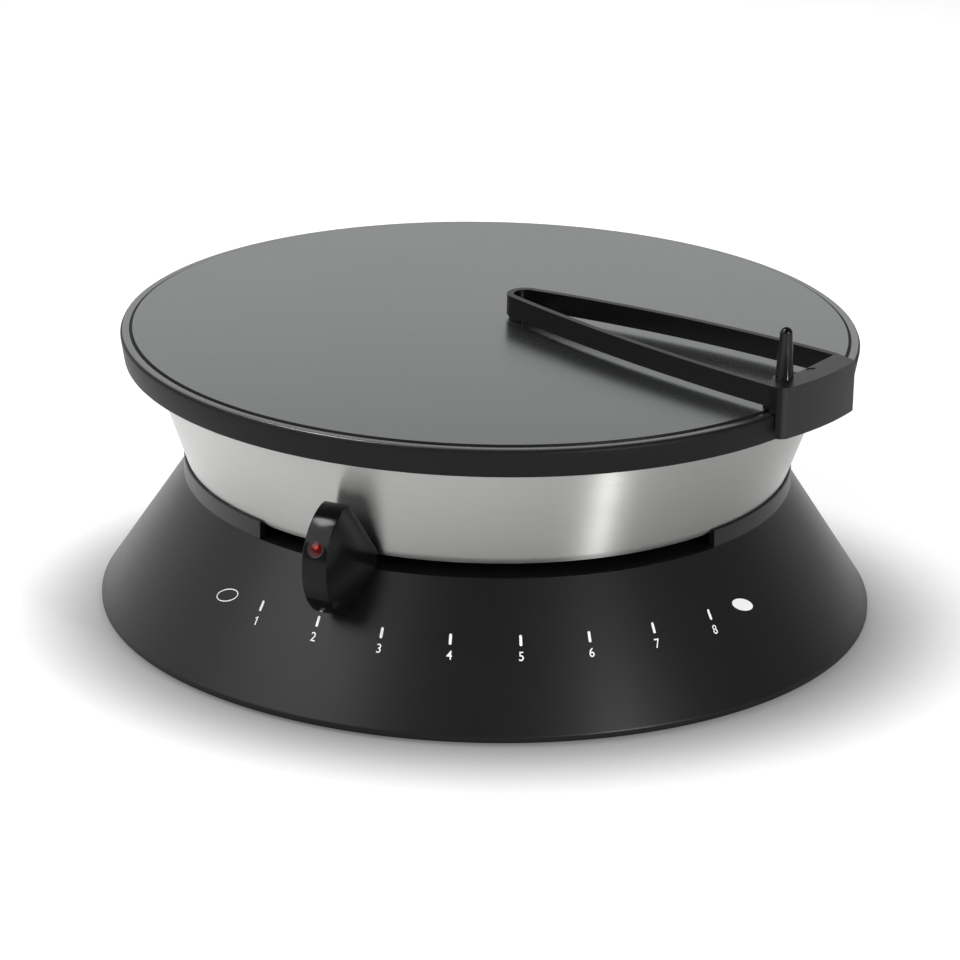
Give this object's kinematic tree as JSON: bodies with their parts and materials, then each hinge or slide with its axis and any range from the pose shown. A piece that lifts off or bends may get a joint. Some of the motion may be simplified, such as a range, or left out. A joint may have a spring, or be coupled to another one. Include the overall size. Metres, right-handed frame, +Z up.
{
  "type": "electric crepe maker",
  "caption": "Electric crepe maker: round cast plate on a steel bowl and flared base, with a sliding heat lever and a spreader that hooks on the rim.",
  "frame": {"origin": "on the standing surface, under the middle of the cooking plate", "axes": "+Z up, front of the base with the lever's scale towards -Y, +X to the right seen from the front"},
  "size_m": [0.3698, 0.3698, 0.1728],
  "materials": {
    "cast_plate": "fine machined and seasoned, satin",
    "element_sheath": "heat-oxidised steel sheath",
    "white_ceramic": "unglazed",
    "zinc_steel": "zinc plated",
    "mineral_wool": "pressed fibre",
    "aluminised_sheet": "aluminised sheet",
    "brushed_bowl": "brushed round the bowl",
    "phenolic": "moulded phenolic",
    "copper": "drawn copper",
    "brass_parts": "turned brass",
    "silicone": "silicone rubber",
    "lead_sleeve": "glass-braid sleeve",
    "base_plastic": "fine-grained satin black",
    "cover_plastic": "matte black",
    "foot_rubber": "matte rubber",
    "gland_plastic": "moulded nylon",
    "lever_steel": "black-painted strip",
    "knob_plastic": "semi-gloss black",
    "red_lens": "clear red lens",
    "lamp_glass": "neon lamp",
    "spreader_plastic": "satin moulded",
    "peg_plastic": "polished black",
    "scale_print": "pad-printed white"
  },
  "bodies": {
    "housing": {"griddle_plate": "cast_plate", "heating_element": "element_sheath", "element_seals": "white_ceramic", "clamp_plate": "zinc_steel", "clamp_nuts": "zinc_steel", "insulation_pad": "mineral_wool", "heat_shield": "aluminised_sheet", "shield_nuts": "zinc_steel", "plate_studs": "zinc_steel", "stud_nuts": "zinc_steel", "bowl_shell": "brushed_bowl", "thermostat_body": "phenolic", "thermostat_bracket": "zinc_steel", "bracket_screws": "zinc_steel", "sensor_bulb": "copper", "thermal_cutout": "phenolic", "earth_tag": "brass_parts", "lead_grommet": "silicone", "internal_leads": "lead_sleeve", "base_shell": "base_plastic", "lever_bush": "brass_parts", "base_cover": "cover_plastic", "cover_screws": "zinc_steel", "feet": "foot_rubber", "terminal_block": "white_ceramic", "terminal_tubes": "brass_parts", "terminal_screws": "zinc_steel", "cord_gland": "gland_plastic", "gland_nut": "gland_plastic"},
    "heat_lever": {"thermostat_shaft": "zinc_steel", "lever_arm": "lever_steel", "lever_circlip": "zinc_steel", "lever_knob": "knob_plastic", "knob_screw": "zinc_steel", "pilot_lens": "red_lens", "pilot_lamp": "lamp_glass", "lamp_leads": "lead_sleeve"},
    "spreader": {"spreader_frame": "spreader_plastic", "spreader_peg": "peg_plastic"}
  },
  "joints": [
    {"name": "heat_lever_turn", "type": "hinge", "parent": "housing", "child": "heat_lever", "pos_m": [0, 0, 0.0663], "axis": [0, 0, 1], "range_deg": [-17.9, 67.1]},
    {"name": "spreader_sweep", "type": "hinge", "parent": "housing", "child": "spreader", "pos_m": [0, 0, 0.1365], "axis": [0, 0, 1], "continuous": true}
  ]
}
